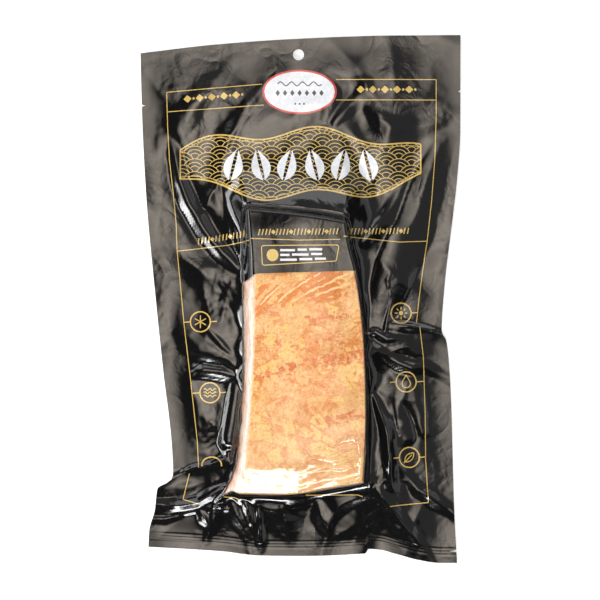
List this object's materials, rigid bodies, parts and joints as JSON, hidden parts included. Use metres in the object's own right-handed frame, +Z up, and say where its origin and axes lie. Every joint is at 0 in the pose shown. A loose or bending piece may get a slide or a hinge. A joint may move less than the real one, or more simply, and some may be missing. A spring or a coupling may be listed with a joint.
{
  "type": "vacuum pack of smoked salmon",
  "caption": "Flat vacuum pouch of black printed film lying on its back, folded tight round a smoked salmon fillet that shows through a clear window.",
  "frame": {"origin": "middle of the pack's outline, on the surface that it lies on", "axes": "+Y along the pack towards the hang hole, +X to the right of the shown face, +Z up out of the shown face"},
  "size_m": [0.1758, 0.29, 0.0212],
  "materials": {
    "black_film": "glossy black printed barrier film, creased",
    "smoked_fish": "moist golden orange smoked flesh with pale flake seams",
    "clear_film": "clear glossy film, thin and colourless",
    "gold_print": "gold ink under the film's gloss",
    "white_print": "white ink under the film's gloss",
    "red_print": "red ink under the film's gloss"
  },
  "bodies": {
    "root": {"pouch": "black_film", "salmon_fillet": "smoked_fish", "window_film": "clear_film"}
  },
  "joints": []
}
